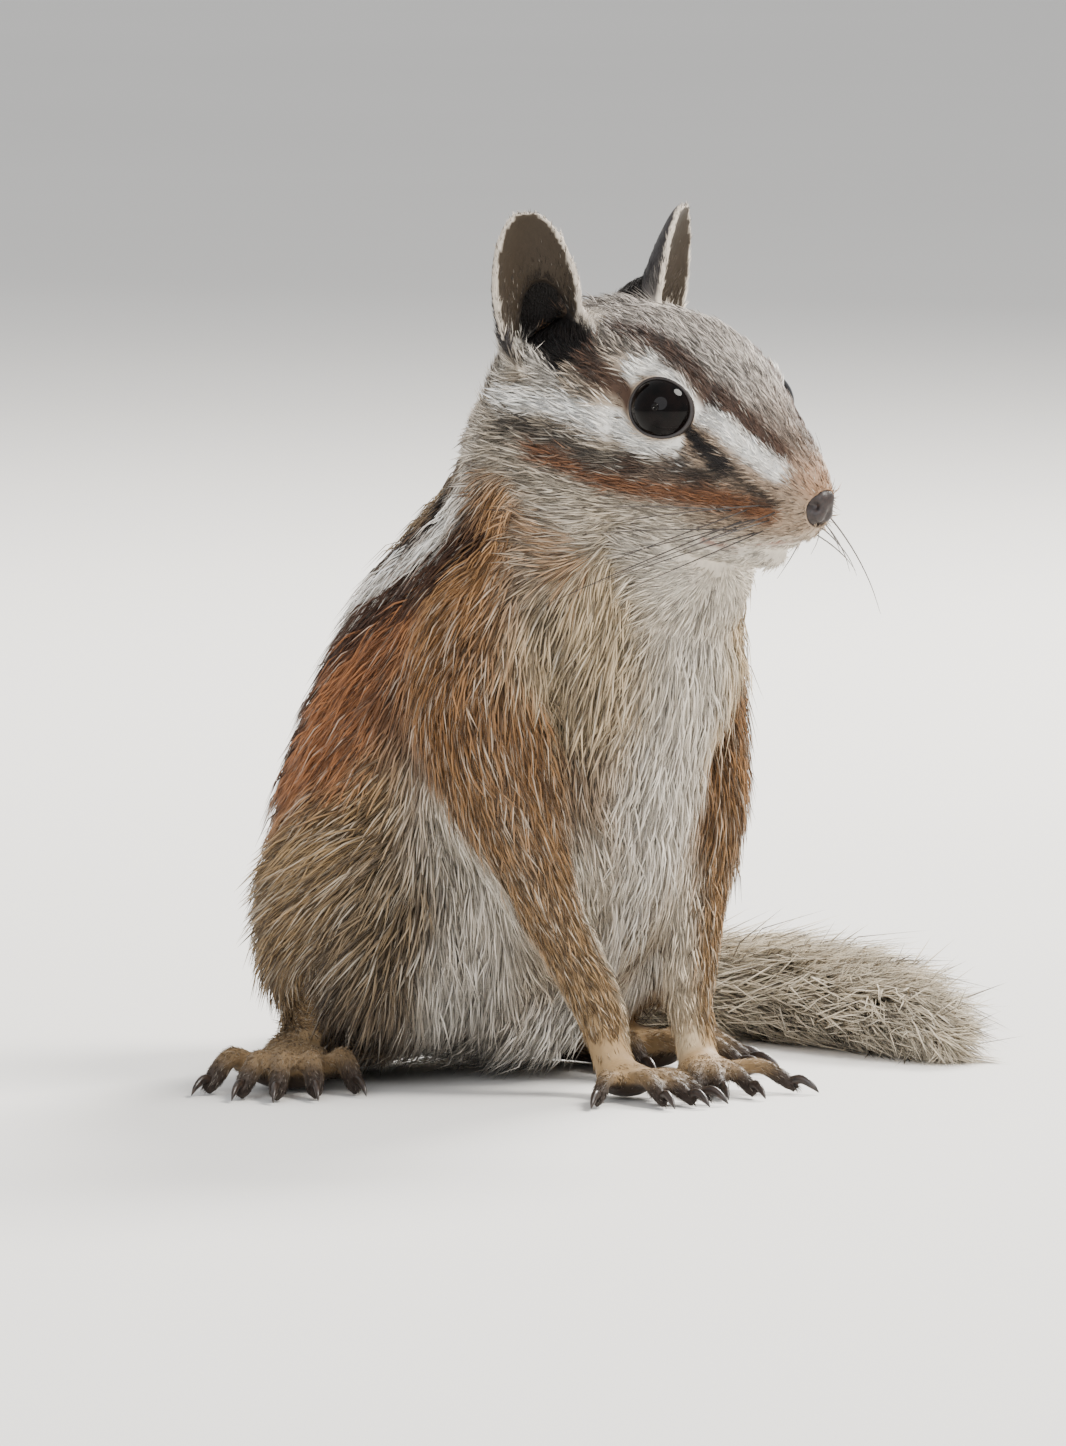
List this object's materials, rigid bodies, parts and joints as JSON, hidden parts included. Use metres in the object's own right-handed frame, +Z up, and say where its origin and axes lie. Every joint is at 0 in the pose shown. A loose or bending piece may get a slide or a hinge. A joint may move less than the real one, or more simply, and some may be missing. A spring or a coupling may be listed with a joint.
{
  "type": "chipmunk",
  "caption": "Life-size still model of a small striped chipmunk sitting upright on its haunches, forefeet down between its hind feet and its tail curled round its left side on the floor.",
  "frame": {"origin": "middle of the footprint of the whole model, on the floor that its feet and tail rest on", "axes": "+Z up; the animal faces -Y, and its own left side and its curled tail are towards +X"},
  "size_m": [0.0846, 0.083, 0.08],
  "materials": {
    "rusty_fur": "soft short fur, rust-brown with dark and white stripes",
    "grey_fur": "soft grizzled fur, grey-white to olive-buff, longer on the tail",
    "tan_fur": "very short tan fur on legs and feet, dark claws",
    "bare_skin": "bare, slightly moist dark skin",
    "eye": "wet, glossy black"
  },
  "bodies": {
    "root": {"torso": "rusty_fur", "neck": "rusty_fur", "head": "grey_fur", "nose": "bare_skin", "ear_right": "grey_fur", "ear_left": "grey_fur", "eye_right": "eye", "eye_left": "eye", "upper_foreleg_right": "rusty_fur", "upper_foreleg_left": "rusty_fur", "forearm_right": "tan_fur", "forearm_left": "tan_fur", "forefoot_right": "tan_fur", "forefoot_left": "tan_fur", "thigh_right": "grey_fur", "thigh_left": "grey_fur", "hindfoot_right": "tan_fur", "hindfoot_left": "tan_fur", "tail_base": "grey_fur", "tail_middle": "grey_fur", "tail_tip": "grey_fur"}
  },
  "joints": []
}
